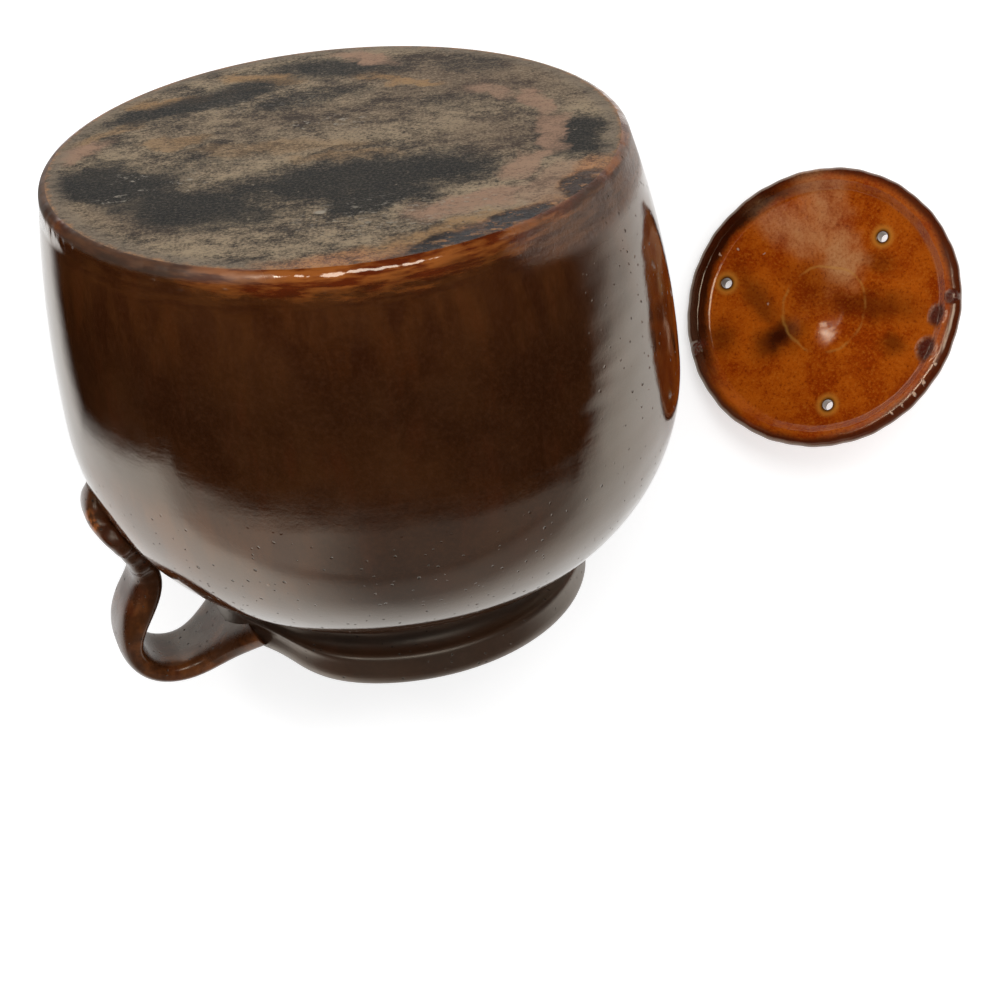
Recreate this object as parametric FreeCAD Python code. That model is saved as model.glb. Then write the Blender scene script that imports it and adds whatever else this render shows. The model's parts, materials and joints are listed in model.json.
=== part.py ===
import FreeCAD, Part
import math
import os

# Stoneware bean pot with one pulled strap handle and a loose lid.
#
# The pot lies on its side, carried by the round of its shoulder and by its lip, so that its base looks
# up and away. The lid is taken off and turned over beside it, tipped on its knob. Every piece is first
# made standing, in a frame of its own, and one placement then lays it down. Lengths are millimetres.
#
# Pot frame: origin at the centre of the base, z up to the mouth.
# Lid frame: origin at the centre of the rim that it sits on, z up to the knob.

V = FreeCAD.Vector
UP = V(0, 0, 1)

# ---- pot: body ----
belly_radius = 89.6         # widest place
belly_height = 70.7         # height of the widest place
belly_swell = 7.6           # how far the belly stands out beyond the base
shoulder_arc = 60.4         # radius of the round that closes the belly in to the throat
foot_round = 3.0            # worn corner between base and wall
wall = 6.0                  # belly and shoulder
floor_thickness = 8.0
floor_round = 10.0          # inside corner at the floor

# ---- pot: mouth and collar, worked out from the lid ----
lid_radius = 45.8
lid_clearance = 1.2         # all round, between the lid and the collar
ledge_width = 5.0           # ledge that carries the lid
ledge_round = 1.5
seat_depth = 7.0            # from the lip down to the ledge
seat_round = 2.0            # inner edge of the lip
neck_wall = 8.5             # at the throat, the narrowest place outside
throat_arc = 4.0            # hollow under the collar
collar_wall = 10.4          # collar at its widest, outside the lid's seat
collar_height = 10.1        # from the hollow up to the lip
collar_foot_round = 1.8     # lower edge of the collar
collar_swell = 0.5          # how far the collar's side bulges
lip_round = 4.0             # outer edge of the lip

# ---- lid ----
rim_thickness = 5.2         # lid at its rim
rim_width = 4.5             # flat ring that sits on the ledge
rim_slope = 2.5             # how far the rim's inner wall leans in
dish_edge_depth = 3.4       # underside above the rim, just inside the rim's wall
dish_depth = 6.2            # the same near the middle
dish_bow = 0.5              # how far the underside curves between them
boss_radius = 7.0           # swelling of the underside, below the knob
boss_height = 1.3
dome_height = 12.0          # top of the lid, in the middle, above the ledge
steam_hole_radius = 1.7
steam_holes = ((11.3, 0.0), (16.4, 114.0), (13.8, 248.0))    # in from the rim, angle round

# ---- knob ----
knob_height = 13.2          # from the dome to the top of the head
knob_head_radius = 11.0
knob_edge_round = 4.5       # round edge of the head
knob_crown = 0.8            # rise of the head's top over its round edge
knob_neck_radius = 7.0      # narrowest place, between dome and head
knob_sink = 0.8             # foot of the neck below the dome's top

# ---- strap handle ----
handle_angle = 163.0        # where it stands round the pot
strap_width = 22.5          # over the loop
strap_thickness = 7.6
strap_edge = 0.65           # squareness of the strap's edges, 1 a plain oval
strap_hollow = 0.8          # depth of the hollow along its outer face
section_points = 14         # points round one section
root_width = 42.0           # spread where it is luted to the collar
root_thickness = 8.0
root_depth = 5.0            # middle of the root below the lip
root_out = 1.5              # middle of the strap where it leaves the collar: out from the collar
root_up = 1.6               # and above the lip
leaving_width = 29.0        # width there
loop_rise = 6.6             # middle of the strap above the lip, at the crest
loop_out = 27.8             # middle of the strap out from the collar, at its furthest
crest_run = 15.0            # from the crest out to the furthest place
crest_fall = 9.5            # and down to it
fall_bow = 1.2              # outward bow of the strap on its way down
waist_angle = 44.5          # place round the shoulder's arc where it comes down
waist_stand = 6.4           # middle of the waist above the shoulder
waist_width = 19.0
waist_thickness = 9.2
tail_angle = 18.0           # place round the shoulder's arc where the pressed tail ends
tail_stand = 2.0            # middle of the tail above the shoulder
tail_width = 25.5
tail_end_width = 11.0
thumb_radius = 14.0         # thumb mark that presses the tail on
thumb_depth = 2.0
thumb_place = 0.62          # share of the way from the waist to the tail's end

# ---- how they lie ----
lid_out = 54.6              # middle of the lid out from the belly's side
lid_back = 48.1             # and behind the middle of the base
lid_heading = 157.0         # the side on which the lid's rim comes down

# ---- sizes that follow ----
base_radius = belly_radius - belly_swell
belly_rise = belly_height - foot_round
belly_arc = (belly_swell ** 2 + belly_rise ** 2) / (2 * belly_swell)
belly_r = belly_radius - belly_arc
shoulder_r = belly_radius - shoulder_arc
seat_radius = lid_radius + lid_clearance
mouth_radius = seat_radius - ledge_width
collar_radius = seat_radius + collar_wall
throat_r = mouth_radius + neck_wall + throat_arc
throat_z = belly_height + math.sqrt((shoulder_arc + throat_arc) ** 2 - (throat_r - shoulder_r) ** 2)
pot_height = throat_z + throat_arc + collar_height
lip_r, lip_z = collar_radius - lip_round, pot_height - lip_round
rim_round = rim_thickness / 2
rim_r = lid_radius - rim_round
knob_edge_r = knob_head_radius - knob_edge_round
knob_edge_z = dome_height + knob_height - knob_crown - knob_edge_round


def polar(centre_r, centre_z, radius, degrees):
    """Point of a circle in the (r, z) half-plane that is turned into a pot."""
    turn = math.radians(degrees)
    return V(centre_r + radius * math.cos(turn), 0, centre_z + radius * math.sin(turn))


def arc(centre_r, centre_z, radius, start, end):
    """Arc in the (r, z) half-plane from one angle to another, either way round."""
    points = [polar(centre_r, centre_z, radius, a) for a in (start, (start + end) / 2, end)]
    return Part.Arc(*points).toShape()


def bow(*points):
    """Arc through three (r, z) points."""
    return Part.Arc(*[V(r, 0, z) for r, z in points]).toShape()


def line(r1, z1, r2, z2):
    return Part.makeLine(V(r1, 0, z1), V(r2, 0, z2))


def revolve(edges):
    """Outline in the (r, z) half-plane, its gaps closed by straight lines, turned into a solid."""
    closed = []
    for edge, after in zip(edges, edges[1:] + edges[:1]):
        closed.append(edge)
        end, start = edge.lastVertex(True).Point, after.firstVertex(True).Point
        if end.distanceToPoint(start) > 1e-6:
            closed.append(Part.makeLine(end, start))
    return Part.Face(Part.Wire(closed)).revolve(V(0, 0, 0), UP, 360)


def largest(shape):
    return max(shape.Solids, key=lambda solid: solid.Volume)


# ---- pot ----
def pot_outside():
    """Base, its worn corner, belly, shoulder, throat and collar, up to the lip's top."""
    belly_turn = math.degrees(math.asin(belly_rise / belly_arc))
    throat_turn = math.degrees(math.atan2(throat_z - belly_height, throat_r - shoulder_r))
    side_r, side_z = throat_r + collar_foot_round, throat_z + throat_arc + collar_foot_round
    swell = ((side_r + collar_radius) / 2 + collar_swell, (side_z + lip_z) / 2)
    return [
        line(0, 0, base_radius - foot_round, 0),
        arc(base_radius - foot_round, foot_round, foot_round, -90, 0),
        arc(belly_r, belly_height, belly_arc, -belly_turn, 0),
        arc(shoulder_r, belly_height, shoulder_arc, 0, throat_turn),
        arc(throat_r, throat_z, throat_arc, throat_turn - 180, -270),
        arc(throat_r, side_z, collar_foot_round, -90, 0),
        bow((side_r, side_z), swell, (collar_radius, lip_z)),
        arc(lip_r, lip_z, lip_round, 0, 90),
    ]


def pot_inside():
    """Inner edge of the lip, lid's seat and ledge, mouth, and the cavity down to its floor."""
    ledge_z = pot_height - seat_depth
    shoulder_in, belly_in = shoulder_arc - wall, belly_arc - wall
    mouth_z = belly_height + math.sqrt(shoulder_in ** 2 - (mouth_radius - shoulder_r) ** 2)
    mouth_turn = math.degrees(math.atan2(mouth_z - belly_height, mouth_radius - shoulder_r))
    corner_z, corner_arc = floor_thickness + floor_round, belly_in - floor_round
    corner_turn = -math.degrees(math.asin((belly_height - corner_z) / corner_arc))
    corner_r = belly_r + corner_arc * math.cos(math.radians(corner_turn))
    return [
        arc(seat_radius + seat_round, pot_height - seat_round, seat_round, 90, 180),
        line(seat_radius, ledge_z, mouth_radius + ledge_round, ledge_z),
        arc(mouth_radius + ledge_round, ledge_z - ledge_round, ledge_round, 90, 180),
        line(mouth_radius, ledge_z - ledge_round, mouth_radius, mouth_z),
        arc(shoulder_r, belly_height, shoulder_in, mouth_turn, 0),
        arc(belly_r, belly_height, belly_in, 0, corner_turn),
        arc(corner_r, corner_z, floor_round, corner_turn, -90),
        line(corner_r, floor_thickness, 0, floor_thickness),
    ]


def pot_body():
    return revolve(pot_outside() + pot_inside())


def filled_pot():
    """The pot with mouth and cavity filled, which cuts the handle's seats on collar and shoulder."""
    return revolve(pot_outside() + [line(lip_r, pot_height, 0, pot_height)])


# ---- strap handle ----
def on_shoulder(share, stand):
    """Point (r, z) above the shoulder, at a share of the way from the waist to the tail's end."""
    place = waist_angle + (tail_angle - waist_angle) * share
    point = polar(shoulder_r, belly_height, shoulder_arc + stand, place)
    return point.x, point.z


def strap_stations():
    """(r, z, width, thickness) of the strap, from inside the collar, over the loop, to the tail's end."""
    loop_r, crest_z = collar_radius + loop_out, pot_height + loop_rise
    loop_z = crest_z - crest_fall
    quarter = math.sin(math.pi / 4)
    waist_r, waist_z = on_shoulder(0, waist_stand)
    stations = [
        (lip_r - lip_round, pot_height - root_depth, root_width, root_thickness),
        (collar_radius + root_out, pot_height + root_up, leaving_width, root_thickness),
        (loop_r - crest_run, crest_z, strap_width, strap_thickness),
        (loop_r - crest_run * (1 - quarter), loop_z + crest_fall * quarter, strap_width, strap_thickness),
        (loop_r, loop_z, strap_width, strap_thickness),
        ((loop_r + waist_r) / 2 + fall_bow, (loop_z + waist_z) / 2, strap_width, waist_thickness),
        (waist_r, waist_z, waist_width, waist_thickness),
    ]
    landing_stand = (waist_stand + 2 * tail_stand) / 4
    tail = ((0.3, landing_stand, (waist_width + tail_width) / 2),
            (0.6, tail_stand, tail_width),
            (0.85, tail_stand, (tail_width + tail_end_width) / 2),
            (1.0, -tail_stand, tail_end_width))
    for share, stand, width in tail:
        stations.append(on_shoulder(share, stand) + (width, strap_thickness))
    return stations


def strap_section(centre, outward, width, thickness):
    """Flat section across the strap, rounded at its edges and hollowed along its outer face."""
    points = []
    for step in range(section_points):
        turn = 2 * math.pi * step / section_points
        across = width / 2 * math.copysign(abs(math.cos(turn)) ** strap_edge, math.cos(turn))
        out = thickness / 2 * math.copysign(abs(math.sin(turn)) ** strap_edge, math.sin(turn))
        if out > 0:
            out -= strap_hollow * math.sin(turn) ** 4
        points.append(centre + V(0, across, 0) + outward * out)
    curve = Part.BSplineCurve()
    curve.interpolate(Points=points, PeriodicFlag=True)
    return Part.Wire(curve.toShape())


def strap_handle():
    """Loft through the stations, cut to its seats on the pot, with the thumb's mark in its tail."""
    stations = strap_stations()
    centres = [V(r, 0, z) for r, z, _, _ in stations]
    path = Part.BSplineCurve()
    path.interpolate(centres)
    sections = []
    for centre, (_, _, width, thickness) in zip(centres, stations):
        along = path.tangent(path.parameter(centre))[0]
        outward = V(0, 1, 0).cross(along)
        sections.append(strap_section(centre, outward, width, thickness))
    strap = Part.makeLoft(sections, True, False, False)
    thumb_lift = tail_stand + strap_thickness / 2 + thumb_radius - thumb_depth
    thumb_r, thumb_z = on_shoulder(thumb_place, thumb_lift)
    strap = strap.cut(Part.makeSphere(thumb_radius, V(thumb_r, 0, thumb_z)))
    strap = largest(strap.cut(filled_pot()))
    strap.rotate(V(0, 0, 0), UP, handle_angle)
    return strap


# ---- lid ----
def lid_disc():
    """Domed disc with a rim to sit on, a dished underside and steam holes."""
    rise = dome_height - rim_thickness
    dome_arc = (rim_r ** 2 + rise ** 2) / (2 * rise)
    dome_z = dome_height - dome_arc
    dome_turn = math.degrees(math.atan2(rim_thickness - dome_z, rim_r))
    ring_r = lid_radius - rim_width
    dish_r = ring_r - rim_slope
    between = ((dish_r + boss_radius) / 2, (dish_edge_depth + dish_depth) / 2 + dish_bow)
    boss_arc = (boss_radius ** 2 + boss_height ** 2) / (2 * boss_height)
    boss_z = dish_depth - boss_height
    boss_turn = math.degrees(math.atan2(boss_height - boss_arc, boss_radius))
    disc = revolve([
        bow((dish_r, dish_edge_depth), between, (boss_radius, dish_depth)),
        arc(0, boss_z + boss_arc, boss_arc, boss_turn, -90),
        line(0, boss_z, 0, dome_height),
        arc(0, dome_z, dome_arc, 90, dome_turn),
        arc(rim_r, rim_round, rim_round, 90, -90),
        line(rim_r, 0, ring_r, 0),
    ])
    for inward, angle in steam_holes:
        hole = Part.makeCylinder(steam_hole_radius, dome_height, V(lid_radius - inward, 0, 0))
        hole.rotate(V(0, 0, 0), UP, angle)
        disc = disc.cut(hole)
    return largest(disc)


def lid_knob():
    """Flattened ball on a hollow neck, both tangent, its foot cut to the lid's dome."""
    top_z, foot_z = dome_height + knob_height, dome_height - knob_sink
    rise = top_z - knob_edge_z
    crown_arc = (knob_edge_r ** 2 + rise ** 2 - knob_edge_round ** 2) / (2 * knob_crown)
    crown_z = top_z - crown_arc
    crown_turn = math.degrees(math.atan2(knob_edge_z - crown_z, knob_edge_r))
    over, up = knob_neck_radius - knob_edge_r, knob_edge_z - foot_z
    half = up + knob_edge_round - over
    hollow = half - math.sqrt(half ** 2 - over ** 2 - up ** 2 + knob_edge_round ** 2)
    hollow_r, hollow_z = knob_neck_radius + hollow, foot_z + hollow
    neck_turn = math.degrees(math.atan2(hollow_z - knob_edge_z, hollow_r - knob_edge_r))
    knob = revolve([
        line(0, foot_z, hollow_r, foot_z),
        arc(hollow_r, hollow_z, hollow, 270, 180 + neck_turn),
        arc(knob_edge_r, knob_edge_z, knob_edge_round, neck_turn, crown_turn),
        arc(0, crown_z, crown_arc, crown_turn, 90),
    ])
    return largest(knob.cut(lid_disc()))


# ---- how they lie ----
def pot_lie():
    """On the shoulder's round and the lip's: their common tangent lies on the ground."""
    across, along = shoulder_r - lip_r, lip_z - belly_height
    tilt = math.atan2(across, along) + math.asin((shoulder_arc - lip_round) / math.hypot(across, along))
    height = shoulder_r * math.cos(tilt) + belly_height * math.sin(tilt) + shoulder_arc
    return FreeCAD.Placement(V(0, 0, height), FreeCAD.Rotation(V(1, 0, 0), 90 + math.degrees(tilt)))


def lid_lie():
    """Upturned, on the round of the rim and the edge of the knob: their common tangent is the ground."""
    across, down = rim_r - knob_edge_r, knob_edge_z - rim_round
    tip = math.atan2(down, across) + math.asin((knob_edge_round - rim_round) / math.hypot(across, down))
    height = rim_r * math.sin(tip) + rim_round * math.cos(tip) + rim_round
    turn = FreeCAD.Rotation(UP, lid_heading)
    turn = turn.multiply(FreeCAD.Rotation(V(0, 1, 0), math.degrees(tip)))
    turn = turn.multiply(FreeCAD.Rotation(V(1, 0, 0), 180))
    return FreeCAD.Placement(V(belly_radius + lid_out, -lid_back, height), turn)


def main():
    groups = (
        (pot_lie(), {"pot_body": pot_body(), "strap_handle": strap_handle()}),
        (lid_lie(), {"lid_disc": lid_disc(), "lid_knob": lid_knob()}),
    )
    box = FreeCAD.BoundBox()
    for lie, pieces in groups:
        for piece in pieces.values():
            piece.transformShape(lie.toMatrix(), True)
            box.add(piece.optimalBoundingBox(False))
    to_origin = V(-box.Center.x, -box.Center.y, -box.ZMin)
    os.makedirs("parts", exist_ok=True)
    for lie, pieces in groups:
        for name, piece in pieces.items():
            piece.translate(to_origin)
            piece.exportStep("parts/" + name + ".step")
            print(name, piece.ShapeType, piece.isValid(), round(piece.Volume), "mm3")
        origin, axis = lie.Base + to_origin, lie.Rotation.multVec(UP)
        print("  frame at", [round(x, 3) for x in origin], "its z along", [round(x, 5) for x in axis])
    size = [round(x, 2) for x in (box.XLength, box.YLength, box.ZLength)]
    print("pot height", round(pot_height, 2), "overall size", size)


main()
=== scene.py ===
# %% [markdown]
# # A stoneware bean pot, lying on its shoulder
#
# A bean pot is thrown on the wheel in dark stoneware, gets one pulled strap handle and a loose lid, and is
# glazed dark brown inside and out, all but its base. This one has seen years of use: it lies on its side so
# that its sooty base looks up, and its lid lies upturned beside it. The lesson builds the looks of each
# piece round the plain solids of the construction model, in the same places and sizes.

# %% Frame
import json
import math

import bmesh
import bpy
import numpy as np
from mathutils import Matrix, Vector


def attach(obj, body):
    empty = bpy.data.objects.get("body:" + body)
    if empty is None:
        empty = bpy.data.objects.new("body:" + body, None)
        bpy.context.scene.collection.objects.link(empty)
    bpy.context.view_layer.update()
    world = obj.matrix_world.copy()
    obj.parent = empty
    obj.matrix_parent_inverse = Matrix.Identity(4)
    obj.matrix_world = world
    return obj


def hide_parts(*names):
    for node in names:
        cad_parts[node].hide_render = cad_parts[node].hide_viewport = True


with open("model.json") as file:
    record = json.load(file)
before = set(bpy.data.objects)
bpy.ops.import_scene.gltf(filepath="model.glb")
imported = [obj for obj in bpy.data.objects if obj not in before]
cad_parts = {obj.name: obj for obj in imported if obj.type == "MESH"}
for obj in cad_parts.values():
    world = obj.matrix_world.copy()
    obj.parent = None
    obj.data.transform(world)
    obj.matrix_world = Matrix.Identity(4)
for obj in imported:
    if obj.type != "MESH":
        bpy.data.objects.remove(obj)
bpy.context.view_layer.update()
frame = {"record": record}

# %% [markdown]
# Both the pot and the lid are made standing, in millimetres, in a frame of their own: origin on the axis,
# z up to the mouth or the knob. One matrix then lays each of them down. The pot's matrix comes from the
# base, whose middle and outward direction the record states, and the lid's from the sizes of its rim and
# knob, because it is tipped on those two.

# %% How they lie
MM = 0.001
base = frame["record"]["mounts"][0]
pot_up = -Vector(base["axis"]).normalized()
pot_side = Vector((1, 0, 0))
pot_lie = Matrix((pot_side, pot_up.cross(pot_side), pot_up)).transposed().to_4x4()
pot_lie.translation = Vector(base["pos_m"])

LID_RADIUS, RIM_THICKNESS = 45.8, 5.2
KNOB_HEAD, KNOB_ROUND, KNOB_EDGE_Z = 11.0, 4.5, 19.9
rim_round = RIM_THICKNESS / 2
rim_r = LID_RADIUS - rim_round
across, down = rim_r - (KNOB_HEAD - KNOB_ROUND), KNOB_EDGE_Z - rim_round
tip = math.atan2(down, across) + math.asin((KNOB_ROUND - rim_round) / math.hypot(across, down))
lid_middle_z = rim_r * math.sin(tip) + rim_round * math.cos(tip) + rim_round
LID_OFFSET, LID_HEADING = (144.2, -48.1), 157.0
lid_lie = (Matrix.Translation((base["pos_m"][0] + LID_OFFSET[0] * MM,
                               base["pos_m"][1] + LID_OFFSET[1] * MM, lid_middle_z * MM))
           @ Matrix.Rotation(math.radians(LID_HEADING), 4, "Z")
           @ Matrix.Rotation(tip, 4, "Y") @ Matrix.Rotation(math.pi, 4, "X"))
pot_dip = math.degrees(math.asin(-pot_up.z))
print("mouth dips", round(pot_dip, 2), "degrees, lid is tipped", round(math.degrees(tip), 2), "degrees")

# %% [markdown]
# Every piece here is a grid of points: rows follow an outline or a path, columns go round. One helper turns
# such a grid into a mesh. It closes the ends, makes the faces point outwards, and stores each point's place
# in the standing pot or lid as an attribute, so that soot, wear and glaze can be painted where they sit on
# the pot, however it lies.


# %% Grid to mesh
def grid_faces(rows, columns):
    """Four-sided faces of a grid of rows x columns points, closed round the columns."""
    row = np.arange(rows - 1)[:, None] * columns
    column = np.arange(columns)[None, :]
    after = (column + 1) % columns
    next_row = row + columns
    return np.stack([row + column, row + after, next_row + after, next_row + column], -1).reshape(-1, 4)


def cap_faces(ring, middle):
    """Triangles from a ring of point numbers to one middle point."""
    return np.stack([ring, np.roll(ring, -1), np.full(len(ring), middle)], -1)


def mark(mesh, marks):
    """Stores each point's place in the standing pot or lid, in millimetres, as the attribute clay."""
    if "clay" in mesh.attributes:
        mesh.attributes.remove(mesh.attributes["clay"])
    place = mesh.attributes.new("clay", "FLOAT_VECTOR", "POINT")
    place.data.foreach_set("vector", np.asarray(marks, np.float32).ravel())


def build(name, places, lie, node, body, standing=None):
    """Mesh from places, an array (rows, columns, 3) in millimetres in the standing frame. The first and last
    row are each closed by one point at their mean. lie takes it to its place, and standing is what the
    attribute stores, the places themselves unless given."""
    rows, columns = places.shape[:2]
    ends = [places[0].mean(0), places[-1].mean(0)]
    points = np.vstack([places.reshape(-1, 3), ends])
    marks = places if standing is None else standing
    marks = np.vstack([marks.reshape(-1, 3), marks[0].mean(0), marks[-1].mean(0)])
    quads = grid_faces(rows, columns)
    first = cap_faces(np.arange(columns)[::-1], rows * columns)
    last = cap_faces(np.arange(columns) + (rows - 1) * columns, rows * columns + 1)
    turn = np.array(lie.to_3x3())
    world = (points @ turn.T) * MM + np.array(lie.translation)
    mesh = bpy.data.meshes.new(name)
    mesh.from_pydata(world.tolist(), [], quads.tolist() + first.tolist() + last.tolist())
    mark(mesh, marks)
    mesh.polygons.foreach_set("use_smooth", np.ones(len(mesh.polygons), bool))
    mesh.update()
    piece = bpy.data.objects.new(name, mesh)
    bpy.context.scene.collection.objects.link(piece)
    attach(piece, body)
    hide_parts(node)
    print(name, "has", 2 * len(quads) + 2 * columns, "triangles")
    return piece


# %% [markdown]
# A thrown pot is an outline turned round an axis. The outline here is a chain of arcs and lines, each given
# as points: the worn foot, the belly, the shoulder, the hollow throat, the collar with its rounded lip, then
# inwards over the ledge that carries the lid and down the inside.


# %% Outline helpers
def arc(centre_r, centre_z, radius, start, end, steps):
    """Points of an arc: centre plus radius times cosine and sine of even angles from start to end."""
    turn = np.radians(np.linspace(start, end, steps))
    return np.stack([centre_r + radius * np.cos(turn), centre_z + radius * np.sin(turn)], -1)


def line(start, end, steps):
    """Points spaced evenly on a straight line."""
    return np.linspace(start, end, steps)


def turned(outline, columns):
    """Outline (r, z) turned round z: x is r times cosine, y is r times sine of each column's angle."""
    turn = np.linspace(0, 2 * np.pi, columns, endpoint=False)
    r, z = outline[:, :1], outline[:, 1:]
    return np.stack([r * np.cos(turn), r * np.sin(turn), z + 0 * turn], -1)


def tidy(outline):
    """The outline without points closer than a twentieth of a millimetre to the one before."""
    step = np.hypot(*np.diff(outline, axis=0).T)
    return outline[np.concatenate([[True], step > 0.05])]


def smooth(x):
    """0 below 0, 1 above 1, and 3 x squared minus 2 x cubed between."""
    x = np.clip(x, 0, 1)
    return x * x * (3 - 2 * x)


def bump(x, middle, width):
    """Bell curve: e to the minus square of (x - middle) / width."""
    return np.exp(-((x - middle) / width) ** 2)


print("on a quarter circle of 10 mm, the middle point is", arc(0, 0, 10, 0, 90, 3)[1].round(2))

# %% [markdown]
# The pot is driven by few sizes, all in millimetres: how wide the belly is and how high it sits, the arc of
# the shoulder, the wall, and the collar with its seat for the lid. The other radii and heights follow from
# them, because each arc runs on smoothly from the one before.

# %% Sizes of the pot
BELLY, BELLY_Z, SWELL, SHOULDER = 89.6, 70.7, 7.6, 60.4
FOOT, WALL, FLOOR, FLOOR_ROUND = 3.0, 6.0, 8.0, 10.0
SEAT, MOUTH, SEAT_DEPTH, LIP = 47.0, 42.0, 7.0, 4.0
SEAT_ROUND, LEDGE_ROUND = 2.0, 1.5
COLLAR, THROAT_ARC, THROAT_WALL, COLLAR_HEIGHT, COLLAR_ROUND = 57.4, 4.0, 8.5, 10.1, 1.8
belly_rise = BELLY_Z - FOOT
belly_arc = (SWELL ** 2 + belly_rise ** 2) / (2 * SWELL)
belly_r, shoulder_r = BELLY - belly_arc, BELLY - SHOULDER
throat_r = MOUTH + THROAT_WALL + THROAT_ARC
throat_z = BELLY_Z + math.sqrt((SHOULDER + THROAT_ARC) ** 2 - (throat_r - shoulder_r) ** 2)
POT_HEIGHT = throat_z + THROAT_ARC + COLLAR_HEIGHT
print("pot is", round(POT_HEIGHT, 1), "mm tall")


# %% Outline of the pot
def pot_outline():
    """Outside from near the base's middle up to the lip, then inside down to near the floor's middle."""
    belly_turn = math.degrees(math.asin(belly_rise / belly_arc))
    throat_turn = math.degrees(math.atan2(throat_z - BELLY_Z, throat_r - shoulder_r))
    side = throat_z + THROAT_ARC
    ledge = POT_HEIGHT - SEAT_DEPTH
    inner_shoulder, inner_belly = SHOULDER - WALL, belly_arc - WALL
    mouth_z = BELLY_Z + math.sqrt(inner_shoulder ** 2 - (MOUTH - shoulder_r) ** 2)
    mouth_turn = math.degrees(math.atan2(mouth_z - BELLY_Z, MOUTH - shoulder_r))
    corner_arc = inner_belly - FLOOR_ROUND
    corner_turn = -math.degrees(math.asin((BELLY_Z - FLOOR - FLOOR_ROUND) / corner_arc))
    corner_r = belly_r + corner_arc * math.cos(math.radians(corner_turn))
    outside = [
        line((3, 0), (BELLY - SWELL - FOOT, 0), 26),
        arc(BELLY - SWELL - FOOT, FOOT, FOOT, -90, 0, 10),
        arc(belly_r, BELLY_Z, belly_arc, -belly_turn, 0, 40),
        arc(shoulder_r, BELLY_Z, SHOULDER, 0, throat_turn, 44),
        arc(throat_r, throat_z, THROAT_ARC, throat_turn - 180, -270, 12),
        arc(throat_r, side + COLLAR_ROUND, COLLAR_ROUND, -90, 0, 5),
        line((throat_r + COLLAR_ROUND, side + COLLAR_ROUND), (COLLAR, POT_HEIGHT - LIP), 5),
        arc(COLLAR - LIP, POT_HEIGHT - LIP, LIP, 0, 90, 10),
    ]
    inside = [
        arc(SEAT + SEAT_ROUND, POT_HEIGHT - SEAT_ROUND, SEAT_ROUND, 90, 180, 6),
        line((SEAT, ledge), (MOUTH + LEDGE_ROUND, ledge), 4),
        arc(MOUTH + LEDGE_ROUND, ledge - LEDGE_ROUND, LEDGE_ROUND, 90, 180, 5),
        line((MOUTH, ledge - LEDGE_ROUND), (MOUTH, mouth_z), 4),
        arc(shoulder_r, BELLY_Z, inner_shoulder, mouth_turn, 0, 24),
        arc(belly_r, BELLY_Z, inner_belly, 0, corner_turn, 14),
        arc(corner_r, FLOOR + FLOOR_ROUND, FLOOR_ROUND, corner_turn, -90, 7),
        line((corner_r, FLOOR), (4, FLOOR), 8),
    ]
    return tidy(np.vstack(outside)), tidy(np.vstack(inside))


# %% [markdown]
# No thrown pot is quite true. This one leans a little towards the side away from its handle, and its collar
# was pressed in where the handle's root was luted on. Both are small moves of the finished grid. The lean
# moves the handle's grid as well, so it carries the handle along and opens no gap.


# %% Hand of the potter
LEAN, BOW = 4.67, 1.27
PINCH, PINCH_TURN, PINCH_WIDTH = 5.2, 135, 18


def lean(places):
    """Moves each place along x by LEAN times its share of the height, plus a parabola that is BOW at half
    height and 0 at the base and the lip."""
    share = places[..., 2] / POT_HEIGHT
    moved = places.copy()
    moved[..., 0] += LEAN * share + BOW * 4 * share * (1 - share)
    return moved


def pinch(places, outside_rows):
    """Pulls the outside of the collar in by PINCH beside the handle's root, times a bell curve round the
    axis and a smooth step from the throat up."""
    turn = np.degrees(np.arctan2(places[..., 1], places[..., 0])) % 360
    on_collar = smooth((places[..., 2] - throat_z - 1) / 6)
    on_collar[outside_rows:] = 0
    from_axis = np.hypot(places[..., 0], places[..., 1])
    inward = 1 - PINCH * bump(turn, PINCH_TURN, PINCH_WIDTH) * on_collar / from_axis
    moved = places.copy()
    moved[..., 0] *= inward
    moved[..., 1] *= inward
    return moved


# %% Pot
outer, inner = pot_outline()
standing = turned(np.vstack([outer, inner]), 460)
pot = build("bean_pot", lean(pinch(standing, len(outer))), pot_lie, "pot_body", "pot", standing=standing)

# %% [markdown]
# The strap handle is pulled from a lump of clay into a strap, luted to the collar, bent over in a loop and
# pressed on to the shoulder with the thumb. Its shape is a flat section carried along a path whose width and
# thickness change all the way, worked out from a few stations by one smooth curve through them.

# %% Stations of the strap
HANDLE_TURN = 163.0
LOOP_REACH, CREST, LOOP_ACROSS, LOOP_DROP = 27.8, 6.6, 15.0, 9.5
WAIST_TURN, TAIL_TURN = 44.5, 18.0


def on_shoulder(share, stand):
    """(r, z) above the shoulder's arc, at a share of the way from the waist to the tail's end."""
    turn = math.radians(WAIST_TURN + (TAIL_TURN - WAIST_TURN) * share)
    return shoulder_r + (SHOULDER + stand) * math.cos(turn), BELLY_Z + (SHOULDER + stand) * math.sin(turn)


loop_r, crest_z = COLLAR + LOOP_REACH, POT_HEIGHT + CREST
loop_z = crest_z - LOOP_DROP
half_way = math.sqrt(0.5)
waist = on_shoulder(0, 6.4)
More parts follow.
